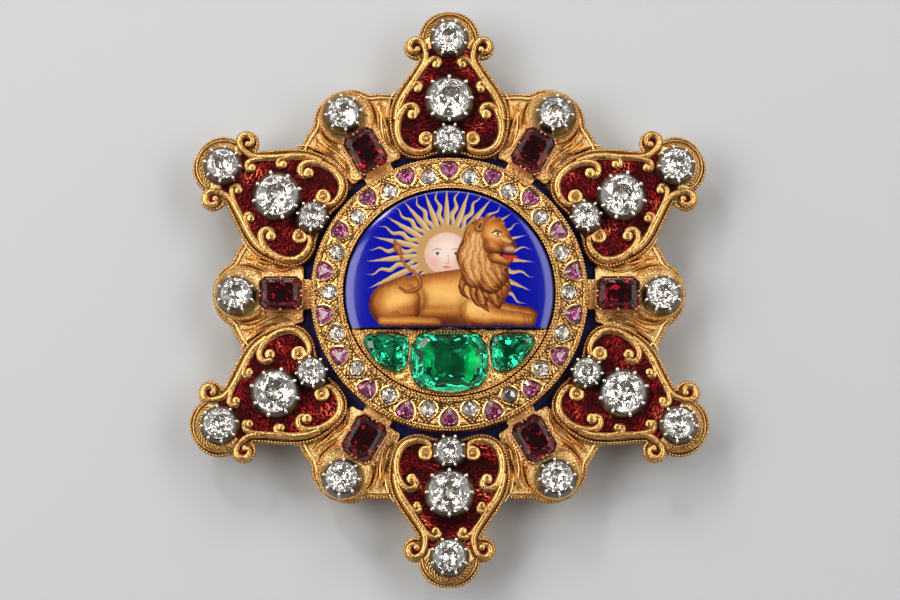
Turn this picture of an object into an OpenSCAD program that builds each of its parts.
// Order badge: a six-armed gold star with red enamel cartouches, diamonds in
// silver collets, garnets in rose gold, and a central medallion with a domed
// enamel plaque above three emeralds. It lies on the rim of its hollow back.
// The face looks along +Z, the plaque's upright is +Y, and the origin is the
// middle of the back, on the surface that the badge rests on. Millimetres.

/* [Star] */
// Distance from the centre to the outer end of an arm
tip_reach = 43.8; // [43.2:0.1:44.6]
// Radius of the rounded end of an arm
tip_r = 4.4; // [4.2:0.1:4.6]
// Thickness of the chased star plate
star_t = 1.4; // [1.2:0.1:1.4]

/* [Medallion] */
// Outer radius of the jewelled ring
ring_r = 20.8; // [20.7:0.05:20.9]
// Inner radius of the jewelled ring
ring_bore_r = 15.85; // [15.8:0.05:15.9]
// Height of the enamel plaque's dome above its edge
dome_sag = 1.5; // [1:0.1:2]
// Distance from the centre down to the plaque's straight edge
plaque_chord = 5.6; // [5.5:0.1:5.8]

/* [Stones] */
// Half width of the cushion diamond in an arm
main_stone_r = 2.95; // [2.8:0.05:3]
// Radius of the small diamond at an arm's inner end
inner_stone_r = 1.9; // [1.8:0.05:1.95]
// Radius of the diamond at an arm's outer end
tip_stone_r = 2.3; // [2.2:0.05:2.4]
// Radius of the diamond in a lobe
lobe_stone_r = 2.3; // [2.2:0.05:2.4]
// Half width of a garnet
garnet_half_w = 2.3; // [2.2:0.05:2.4]
// Half length of a garnet
garnet_half_l = 3; // [2.9:0.05:3.05]

/* [Back] */
// Wall thickness of the hollow back
back_wall = 1; // [0.8:0.1:1.1]
// Radius of the fastening pin's wire
pin_r = 0.5; // [0.4:0.05:0.6]

/* [Hidden] */
$fn = 48;
ARMS = 6;
RING_PAIRS = 18;
gap = 0.05;

// Heights of the layers, from the surface that the badge rests on
z_back_plate = 3.4;
back_plate_t = 0.9;
z_star = 5.45;
z_star_top = z_star + star_t;
blue_t = 0.65;
z_arm = z_star_top + gap;
z_arm_floor = z_arm + 0.8;
z_enamel_top = 8.3;
z_ridge = 8.8;
z_tip_floor = 8.1;
z_ring = z_star + blue_t + gap;
z_ring_outer = 9.9;
z_ring_inner = 11;
z_web = 9;
web_t = 0.8;
z_plaque = z_web + web_t + gap;
z_plaque_edge = 10.9;
z_setting = 7.4;
z_setting_top = 10.8;

// Where the stones sit, as distances from the centre
main_u = 30;
inner_u = 23.75;
tip_u = tip_reach - tip_r + 0.1;
lobe_u = 32;
garnet_u = 25.3;
pink_u = 19;
white_u = 17.9;

// Girdle heights of the stones
z_main_girdle = 10.3;
z_inner_girdle = 10.2;
z_tip_girdle = 10.4;
z_lobe_girdle = 10.3;
z_garnet_girdle = 9.9;
z_emerald_girdle = 11.1;

NODES = concat(
    ["back_tray", "back_pin", "star_plate", "blue_ground", "medallion_ring", "emerald_setting",
     "enamel_plaque", "arm_collets", "tip_collets", "lobe_collets", "garnet_collets",
     "ring_pinks", "ring_whites", "emerald_centre", "emerald_left", "emerald_right"],
    numbered("arm_frame"), numbered("arm_enamel"), numbered("arm_diamond"), numbered("inner_diamond"),
    numbered("tip_diamond"), numbered("lobe_diamond"), numbered("garnet"));
node = "all";

function numbered(name) = [for (k = [1:ARMS]) str(name, "_", k)];
function shows(name) = node == "all" || node == name;

// Arm 1 points straight up and the others follow anticlockwise; lobe 1 follows arm 1
function arm_angle(k) = 60 * (k - 1);
function lobe_angle(k) = arm_angle(k) + 30;
function polar(r, angle) = [r * cos(angle), r * sin(angle)];
function polar_at(r, angle, z) = [r * cos(angle), r * sin(angle), z];

module around(angle) rotate([0, 0, angle]) children();

module both_sides() {
    children();
    mirror([1, 0, 0]) children();
}

// Curves. A row is [x, y] or [x, y, half width], with y measured from the badge's centre
function curve(a, b, c, d, t) =
    0.5 * (2 * b + (c - a) * t + (2 * a - 5 * b + 4 * c - d) * t * t + (3 * b - a - 3 * c + d) * t * t * t);
function smooth(rows, steps) =
    let (last = len(rows) - 1)
    concat([for (i = [0:last - 1]) for (s = [0:steps - 1])
        curve(rows[max(i - 1, 0)], rows[i], rows[i + 1], rows[min(i + 2, last)], s / steps)], [rows[last]]);
function across(p, i) =
    let (d = p[min(i + 1, len(p) - 1)] - p[max(i - 1, 0)])
    [-d.y, d.x] / norm([d.x, d.y]);
function side_point(p, i, side) = [p[i].x, p[i].y] + side * p[i][2] * across(p, i);

// A stroke of changing width along a smooth line, with round ends
module stroke(rows, steps = 2) {
    p = smooth(rows, steps);
    for (i = [0:len(p) - 2])
        polygon([side_point(p, i, 1), side_point(p, i + 1, 1), side_point(p, i + 1, -1), side_point(p, i, -1)]);
    for (end = [p[0], p[len(p) - 1]])
        translate([end.x, end.y]) circle(r = end[2], $fn = 12);
}

// Joins overlapping flat shapes into one clean outline
module joined() offset(delta = 0.01) children();

// One half of the arm plate's outline, from the inner end to the neck
ARM_SIDE = [
    [0, 22.15], [2.2, 21.9], [4.5, 21.3], [6.5, 21.6], [7.9, 22.9], [8.6, 24.9], [8.9, 27.2],
    [8.5, 29.6], [7.5, 31.7], [6.2, 33.7], [4.9, 35.6], [3.9, 37], [0, 38.5]];

// The scrolls on one side of an arm
EDGE_SCROLL = [
    [5, 38.2, 0.3], [5.7, 37.6, 0.36], [6.2, 38.4, 0.4], [5.9, 39.4, 0.4], [5, 39.8, 0.4],
    [4, 39.2, 0.4], [3.6, 37.8, 0.4], [3.7, 36.4, 0.4], [4.7, 34.7, 0.42], [6, 32.8, 0.42],
    [7.3, 30.9, 0.45], [8.15, 29, 0.45], [8.4, 27, 0.42]];
NECK_SCROLL = [
    [1.75, 35.7, 0.5], [1.5, 36.3, 0.42], [2.2, 36.7, 0.36], [3.2, 36.3, 0.36], [4.3, 35, 0.34], [5.9, 32.7, 0.2]];
SHOULDER_SCROLL = [
    [4.8, 31.9, 0.5], [4.5, 32.5, 0.4], [5.2, 32.9, 0.34], [6.1, 32.2, 0.3], [6.9, 31.2, 0.3]];
LOWER_SCROLL = [
    [5.7, 27.7, 0.62], [5.1, 28.4, 0.5], [5.6, 29.3, 0.46], [6.7, 29.2, 0.46], [7.8, 28, 0.46],
    [8.25, 26, 0.46], [8.05, 24.2, 0.46], [7.2, 22.6, 0.46], [5.8, 21.9, 0.44], [4.2, 21.9, 0.4],
    [3.1, 22.5, 0.34], [2.8, 23.3, 0.3]];
rosette_at = [3.75, 24];
rosette_r = 1.15;
volute_at = [5.05, 38.45];
volute_r = 1.55;

module arm_body_2d() {
    both_sides() polygon(concat([[0, 30]], smooth(ARM_SIDE, 2)));
}

module arm_scrolls_2d() {
    both_sides() {
        stroke(EDGE_SCROLL);
        stroke(NECK_SCROLL);
        stroke(SHOULDER_SCROLL);
        stroke(LOWER_SCROLL);
        translate(rosette_at) circle(r = rosette_r, $fn = 16);
    }
}

module tip_2d() translate([0, tip_u - 0.1]) circle(r = tip_r, $fn = 36);

module arm_plate_2d() {
    arm_body_2d();
    tip_2d();
    both_sides() translate(volute_at) circle(r = volute_r, $fn = 20);
}

// The raised rim of an arm's rounded end, open towards the enamel
module tip_rim_2d() {
    difference() {
        tip_2d();
        translate([0, tip_u - 0.1]) circle(r = tip_r - 0.5, $fn = 36);
        translate([-tip_r, tip_u - tip_r - 1]) square([2 * tip_r, tip_r]);
    }
}

module arm_frame() {
    color("goldenrod") translate([0, 0, z_arm]) {
        linear_extrude(z_arm_floor - z_arm) joined() arm_plate_2d();
        linear_extrude(z_ridge - z_arm) joined() {
            arm_scrolls_2d();
            tip_rim_2d();
        }
        linear_extrude(z_tip_floor - z_arm) difference() {
            tip_2d();
            translate([-tip_r, tip_u - 2 * tip_r]) square([2 * tip_r, tip_r]);
        }
    }
}

// The arm's enamel fills the plate between the scrolls and the tip
module arm_enamel() {
    base = z_arm_floor + gap / 2;
    color("firebrick") difference() {
        translate([0, 0, base]) linear_extrude(z_enamel_top - base) offset(delta = -gap) difference() {
            offset(delta = -0.4) arm_body_2d();
            arm_scrolls_2d();
            tip_2d();
        }
        translate([0, main_u, z_arm]) cylinder(h = 2, r = main_stone_r + collet_wall + gap);
        translate([0, inner_u, z_arm]) cylinder(h = 2, r = inner_stone_r + inner_collet_wall + gap);
    }
}

// Cut stones. An outline is a list of points, and a row of a step cut is [share of the outline, height]
function octagon_outline(half_w, half_l, corner) = [
    [half_w, half_l - corner], [half_w - corner, half_l], [corner - half_w, half_l], [-half_w, half_l - corner],
    [-half_w, corner - half_l], [corner - half_w, -half_l], [half_w - corner, -half_l], [half_w, corner - half_l]];
function cushion(r, power, angle) =
    r / pow(pow(abs(cos(angle)), power) + pow(abs(sin(angle)), power), 1 / power);

module step_cut(outline, rows, middle = [0, 0]) {
    n = len(outline);
    last = len(rows) - 1;
    points = [for (row = rows) for (p = outline)
        [middle.x + (p.x - middle.x) * row[0], middle.y + (p.y - middle.y) * row[0], row[1]]];
    bands = [for (b = [0:last - 1]) for (i = [0:n - 1])
        [b * n + (i + 1) % n, (b + 1) * n + (i + 1) % n, (b + 1) * n + i, b * n + i]];
    table = [for (i = [n - 1:-1:0]) i];
    culet = [for (i = [0:n - 1]) last * n + i];
    polyhedron(points, concat([table], bands, [culet]));
}

// A brilliant of eight-fold symmetry: table, stars, kites, halves, girdle, pavilion and culet
girdle_t = 0.12;
table_share = 0.52;
kite_share = 0.8;
culet_share = 0.12;
crown_share = 0.34;
pavilion_share = 0.68;
cushion_power = 3.2;

module brilliant(r, power = 2) {
    function at(angle) = cushion(r, power, angle);
    crown = crown_share * r;
    points = concat(
        [for (k = [0:7]) polar_at(at(45 * k + 22.5) * table_share, 45 * k + 22.5, crown)],
        [for (k = [0:7]) polar_at(at(45 * k) * kite_share, 45 * k, crown * 0.56)],
        [for (k = [0:15]) polar_at(at(22.5 * k), 22.5 * k, girdle_t / 2)],
        [for (k = [0:15]) polar_at(at(22.5 * k), 22.5 * k, -girdle_t / 2)],
        [for (k = [0:7]) polar_at(r * culet_share, 45 * k + 22.5, -pavilion_share * r)]);
    kite = 8;
    upper = 16;
    lower = 32;
    culet = 48;
    faces = concat(
        [[for (k = [7:-1:0]) k]],
        [for (k = [0:7]) [k, (k + 1) % 8, kite + (k + 1) % 8]],
        [for (k = [0:7]) [k, upper + 2 * k + 1, kite + k]],
        [for (k = [0:7]) [k, kite + (k + 1) % 8, upper + 2 * k + 1]],
        [for (k = [0:7]) [kite + k, upper + 2 * k, upper + (2 * k + 15) % 16]],
        [for (k = [0:7]) [kite + k, upper + 2 * k + 1, upper + 2 * k]],
        [for (i = [0:15]) [upper + i, upper + (i + 1) % 16, lower + (i + 1) % 16]],
        [for (i = [0:15]) [upper + i, lower + (i + 1) % 16, lower + i]],
        [for (k = [0:7]) [lower + 2 * k, lower + 2 * k + 1, culet + k]],
        [for (k = [0:7]) [lower + 2 * k + 1, lower + (2 * k + 2) % 16, culet + k]],
        [for (k = [0:7]) [culet + k, lower + (2 * k + 2) % 16, culet + (k + 1) % 8]],
        [[for (k = [0:7]) culet + k]]);
    color("aliceblue") polyhedron(points, faces);
}

garnet_corner = 0.7;
GARNET_CUT = [[0.66, 1], [0.86, 0.62], [1, 0.08], [1, -0.08], [0.72, -1.1], [0.3, -2.1]];

module garnet() {
    color("darkred") step_cut(octagon_outline(garnet_half_w, garnet_half_l, garnet_corner), GARNET_CUT);
}

emerald_half_w = 5.55;
emerald_half_l = 4;
emerald_corner = 1.5;
emerald_y = -10.4;
EMERALD_CUT = [[0.7, 1.4], [0.87, 0.95], [1, 0.1], [1, -0.1], [0.75, -1.4], [0.4, -2.6]];
SIDE_EMERALD = [
    [6.15, -7.1], [6.7, -6.6], [12.6, -6.6], [12.95, -7.2], [12.5, -8.5], [10.7, -10.7],
    [8.8, -11.9], [7.5, -12], [6.5, -11.3], [6.1, -9.4]];
side_emerald_middle = [8.6, -8.9];
SIDE_EMERALD_CUT = [[0.66, 0.95], [0.86, 0.65], [1, 0.08], [1, -0.08], [0.72, -1.1], [0.3, -2.1]];

module emerald_centre() {
    color("seagreen") translate([0, emerald_y, z_emerald_girdle])
        step_cut(octagon_outline(emerald_half_w, emerald_half_l, emerald_corner), EMERALD_CUT);
}

module side_emerald() {
    color("seagreen") translate([0, 0, z_emerald_girdle - 0.1])
        step_cut([for (i = [len(SIDE_EMERALD) - 1:-1:0]) SIDE_EMERALD[i]], SIDE_EMERALD_CUT, side_emerald_middle);
}

// Collets: a bellied silver cup, bored for the stone, with bead prongs on its flat rim
collet_wall = 0.65;
inner_collet_wall = 0.42;

module collet(stone_r, wall, base_z, girdle_z, turn) {
    height = girdle_z - base_z;
    outer = stone_r + wall;
    bore = stone_r + 0.03;
    bead_r = wall * 0.38;
    color("dimgray") translate([0, 0, base_z]) {
        difference() {
            rotate_extrude() polygon([
                [0, 0], [outer - 0.35, 0], [outer, height * 0.5], [outer, height], [0, height]]);
            translate([0, 0, height - 0.15]) cylinder(h = 1, r = bore);
            translate([0, 0, height - 0.15 - pavilion_share * stone_r])
                cylinder(h = pavilion_share * stone_r + 0.01, r1 = stone_r * 0.4, r2 = stone_r * 0.985);
        }
        for (i = [0:7])
            rotate([0, 0, turn + 45 * i]) translate([stone_r + wall * 0.5, 0, height]) sphere(r = bead_r, $fn = 20);
    }
}

module arm_collets() {
    base = z_arm_floor + gap / 2;
    for (k = [1:ARMS]) around(arm_angle(k)) {
        translate([0, main_u]) collet(main_stone_r, collet_wall, base, z_main_girdle, 0);
        translate([0, inner_u]) collet(inner_stone_r, inner_collet_wall, base, z_inner_girdle, 22.5);
    }
}

module tip_collets() {
    for (k = [1:ARMS]) around(arm_angle(k)) translate([0, tip_u])
        collet(tip_stone_r, collet_wall, z_tip_floor + gap / 2, z_tip_girdle, 22.5);
}

module lobe_collets() {
    for (k = [1:ARMS]) around(lobe_angle(k)) translate([0, lobe_u])
        collet(lobe_stone_r, collet_wall, z_star_top + gap / 2, z_lobe_girdle, 22.5);
}

garnet_wall = 0.5;

module garnet_collet_2d(room) {
    polygon(octagon_outline(garnet_half_w + room, garnet_half_l + room, garnet_corner + room * 0.5));
}

module garnet_collets() {
    height = z_garnet_girdle - z_star_top;
    bead_r = 0.2;
    for (k = [1:ARMS]) around(lobe_angle(k)) color("rosybrown") translate([0, garnet_u, z_star_top + gap / 2]) {
        difference() {
            linear_extrude(height) garnet_collet_2d(garnet_wall);
            translate([0, 0, -1]) linear_extrude(height + 2) garnet_collet_2d(0.05);
        }
        for (side = [-1, 1]) {
            translate([side * (garnet_half_w + 0.27), 0, height]) sphere(r = bead_r, $fn = 20);
            translate([0, side * (garnet_half_l + 0.27), height]) sphere(r = bead_r, $fn = 20);
        }
    }
}

// The star plate runs under the arms, is chased on the lobes, and has a six-sided opening for the blue
// ground. A table gives one half of a lobe's outline
LOBE_SIDE = [
    [0, 35.55], [2.3, 35], [3.9, 33.9], [4.7, 32.8], [6.1, 32.1], [7.7, 31.1], [9.3, 29.9], [10.2, 28]];
star_core_r = 27;
cap_back = 0.95;
cap_r = 4.2;
opening_apothem = 22.05;
SHIELD = [[0, 29], [2.2, 28.9], [3.4, 28], [3.3, 26], [3.5, 24], [4.1, 22.8], [3.9, 22.2], [0, 22.2]];

module lobe_2d() {
    both_sides() polygon(concat([[0, 20]], smooth(LOBE_SIDE, 2)));
}

arm_margin = 0.35;

module star_2d() {
    circle(r = star_core_r, $fn = 72);
    for (k = [1:ARMS]) {
        around(lobe_angle(k)) lobe_2d();
        around(arm_angle(k)) offset(delta = -arm_margin) arm_plate_2d();
    }
}

module hexagon_2d(apothem) circle(r = apothem / cos(30), $fn = 6);

module star_plate() {
    color("goldenrod") {
        difference() {
            translate([0, 0, z_star]) linear_extrude(star_t) joined() star_2d();
            translate([0, 0, z_star - 1]) linear_extrude(star_t + 2) rotate([0, 0, 30])
                hexagon_2d(opening_apothem);
        }
        for (k = [1:ARMS]) around(lobe_angle(k)) translate([0, 0, z_star_top - 0.1]) difference() {
            union() {
                translate([0, lobe_u - cap_back]) cylinder(h = 0.8, r = cap_r);
                linear_extrude(0.6) joined() both_sides() polygon(SHIELD);
            }
            translate([0, lobe_u, 0.1]) cylinder(h = 3, r = lobe_stone_r + collet_wall + gap);
            translate([0, garnet_u, 0.1]) linear_extrude(3) garnet_collet_2d(garnet_wall + gap);
        }
    }
}

module blue_ground() {
    color("midnightblue") translate([0, 0, z_star]) linear_extrude(blue_t) rotate([0, 0, 30])
        hexagon_2d(opening_apothem - gap);
}

// The jewelled ring: its top rises to the middle, with beaded rims, ridges and pockets for the stones
rim_r = 0.36;
ring_slope = atan((z_ring_inner - z_ring_outer) / (ring_r - ring_bore_r));
pocket_depth = 1.1;
seam_turn = 4;
function ring_z(r) = z_ring_outer + (ring_r - r) * tan(ring_slope);
function pair_angle(i) = 360 / RING_PAIRS * i;

module on_ring(angle, r) {
    rotate([0, 0, angle + 90]) translate([r, 0, ring_z(r)]) rotate([0, ring_slope, 0]) children();
}

module ring_ridge(from_angle, to_angle) {
    inner = ring_bore_r + 0.5;
    outer = ring_r - 0.5;
    a = polar_at(inner, from_angle + 90, ring_z(inner));
    b = polar_at(outer, to_angle + 90, ring_z(outer));
    flat = norm([b.x - a.x, b.y - a.y]);
    translate(a) rotate([0, 0, atan2(b.y - a.y, b.x - a.x)]) rotate([0, atan2(a.z - b.z, flat), 0])
        translate([0, -0.17, -0.4]) cube([norm(b - a), 0.34, 0.6]);
}

module rim_ring(r) {
    around(seam_turn) translate([0, 0, ring_z(r)]) rotate_extrude() translate([r, 0]) circle(r = rim_r, $fn = 24);
}

module medallion_ring() {
    color("goldenrod") difference() {
        union() {
            around(seam_turn) rotate_extrude() polygon([
                [ring_bore_r, z_ring], [ring_r, z_ring], [ring_r, z_ring_outer], [ring_bore_r, z_ring_inner]]);
            rim_ring(ring_r - rim_r - 0.02);
            rim_ring(ring_bore_r + rim_r + 0.02);
            for (i = [0:RING_PAIRS - 1]) {
                ring_ridge(pair_angle(i), pair_angle(i + 0.5));
                ring_ridge(pair_angle(i), pair_angle(i - 0.5));
            }
            translate([0, 0, z_web]) linear_extrude(web_t) d_shape_2d(ring_bore_r + 0.2, plaque_chord);
        }
        for (i = [0:RING_PAIRS - 1]) {
            on_ring(pair_angle(i), pink_u) translate([0, 0, -pocket_depth]) linear_extrude(3)
                polygon(trillion_outline(pink_r + 0.1));
            on_ring(pair_angle(i + 0.5), white_u) translate([0, 0, -pocket_depth]) cylinder(h = 3, r = white_r + 0.1);
        }
    }
}

// Triangular stones with cut corners point to the centre, and round ones stand between them
pink_r = 1.5;
white_r = 1;
corner_turn = 9;
function trillion_outline(r) = [for (k = [0:2]) for (s = [-1, 1]) polar(r, 180 + 120 * k + s * corner_turn)];
PINK_CUT = [[0.5, 0.5], [1, 0], [0.3, -0.85]];
WHITE_CUT = [[0.45, 0.5], [1, 0], [0.3, -0.8]];

module ring_pinks() {
    color("orchid") for (i = [0:RING_PAIRS - 1])
        on_ring(pair_angle(i), pink_u) translate([0, 0, 0.05]) step_cut(trillion_outline(pink_r), PINK_CUT);
}

module ring_whites() {
    outline = [for (k = [0:7]) polar(white_r, 45 * k)];
    color("aliceblue") for (i = [0:RING_PAIRS - 1])
        on_ring(pair_angle(i + 0.5), white_u) translate([0, 0, 0.05]) step_cut(outline, WHITE_CUT);
}

// The medallion's middle: a domed D-shaped plaque above a segment that holds the emeralds
middle_r = ring_bore_r - gap;
dome_r = (middle_r * middle_r + dome_sag * dome_sag) / (2 * dome_sag);

module d_shape_2d(r, chord) {
    intersection() {
        circle(r = r, $fn = 96);
        translate([-2 * r, -chord]) square([4 * r, 3 * r]);
    }
}

module segment_2d(r, chord) {
    intersection() {
        circle(r = r, $fn = 96);
        translate([-2 * r, -chord - 2 * r]) square([4 * r, 2 * r]);
    }
}

module enamel_plaque() {
    color("mediumblue") intersection() {
        translate([0, 0, z_plaque]) linear_extrude(4) d_shape_2d(middle_r - gap, plaque_chord - gap);
        translate([0, 0, z_plaque_edge + dome_sag - dome_r]) sphere(r = dome_r, $fn = 200);
    }
}

module emerald_outlines_2d(room) {
    offset(delta = room) {
        translate([0, emerald_y]) polygon(octagon_outline(emerald_half_w, emerald_half_l, emerald_corner));
        both_sides() polygon(SIDE_EMERALD);
    }
}

module emerald_setting() {
    collar = 0.25;
    color("goldenrod") difference() {
        union() {
            translate([0, 0, z_setting]) linear_extrude(z_setting_top - z_setting)
                segment_2d(middle_r - gap, plaque_chord + gap);
            translate([0, 0, z_setting]) linear_extrude(z_emerald_girdle + 0.1 - z_setting)
                emerald_outlines_2d(collar);
        }
        translate([0, 0, z_setting - 1]) linear_extrude(9) emerald_outlines_2d(gap);
    }
}

// The hollow back: a wall of arcs and straight runs set in from the star's outline, with a plate across it
tray_core_r = 28.2;
tray_tip_u = 37.8;
tray_tip_r = 3.9;
tray_body_half_w = 7;
tray_body_u = 28;
tray_lobe_u = 29.9;
tray_lobe_r = 4.3;

module tray_2d(inset) {
    circle(r = tray_core_r - inset);
    for (k = [1:ARMS]) {
        around(arm_angle(k)) {
            translate([0, tray_tip_u]) circle(r = tray_tip_r - inset);
            polygon([
                [inset - tray_body_half_w, tray_body_u - 6], [tray_body_half_w - inset, tray_body_u - 6],
                [tray_body_half_w - inset, tray_body_u], [tray_tip_r - 0.4 - inset, tray_tip_u - 1],
                [inset + 0.4 - tray_tip_r, tray_tip_u - 1], [inset - tray_body_half_w, tray_body_u]]);
        }
        around(lobe_angle(k)) translate([0, tray_lobe_u]) circle(r = tray_lobe_r - inset);
    }
}

module back_tray() {
    color("darkgoldenrod") {
        difference() {
            linear_extrude(z_star - gap) tray_2d(0);
            translate([0, 0, -1]) linear_extrude(z_star + 2) tray_2d(back_wall);
        }
        translate([0, 0, z_back_plate]) linear_extrude(back_plate_t) tray_2d(back_wall * 0.5);
    }
}

// The fastening pin behind, one plain piece: hinge block, wire and catch
pin_half_length = 20;
z_pin = 1.7;
z_pin_block = 0.8;

module back_pin() {
    color("goldenrod") {
        for (side = [-1, 1]) translate([-2, side * pin_half_length - 1.5, z_pin_block])
            cube([4, 3, z_back_plate - gap - z_pin_block]);
        translate([0, pin_half_length, z_pin]) rotate([90, 0, 0]) cylinder(h = 2 * pin_half_length, r = pin_r);
    }
}

// One line for each single node, and a loop for the nodes that repeat on arms and lobes
if (shows("back_tray")) back_tray();
if (shows("back_pin")) back_pin();
if (shows("star_plate")) star_plate();
if (shows("blue_ground")) blue_ground();
if (shows("medallion_ring")) medallion_ring();
if (shows("emerald_setting")) emerald_setting();
if (shows("enamel_plaque")) enamel_plaque();
if (shows("arm_collets")) arm_collets();
if (shows("tip_collets")) tip_collets();
if (shows("lobe_collets")) lobe_collets();
if (shows("garnet_collets")) garnet_collets();
if (shows("ring_pinks")) ring_pinks();
if (shows("ring_whites")) ring_whites();
if (shows("emerald_centre")) emerald_centre();
if (shows("emerald_left")) mirror([1, 0, 0]) side_emerald();
if (shows("emerald_right")) side_emerald();
for (k = [1:ARMS]) {
    around(arm_angle(k)) {
        if (shows(str("arm_frame_", k))) arm_frame();
        if (shows(str("arm_enamel_", k))) arm_enamel();
        if (shows(str("arm_diamond_", k)))
            translate([0, main_u, z_main_girdle]) brilliant(main_stone_r, cushion_power);
        if (shows(str("inner_diamond_", k))) translate([0, inner_u, z_inner_girdle]) brilliant(inner_stone_r);
        if (shows(str("tip_diamond_", k))) translate([0, tip_u, z_tip_girdle]) brilliant(tip_stone_r);
    }
    around(lobe_angle(k)) {
        if (shows(str("lobe_diamond_", k))) translate([0, lobe_u, z_lobe_girdle]) brilliant(lobe_stone_r);
        if (shows(str("garnet_", k))) translate([0, garnet_u, z_garnet_girdle]) garnet();
    }
}
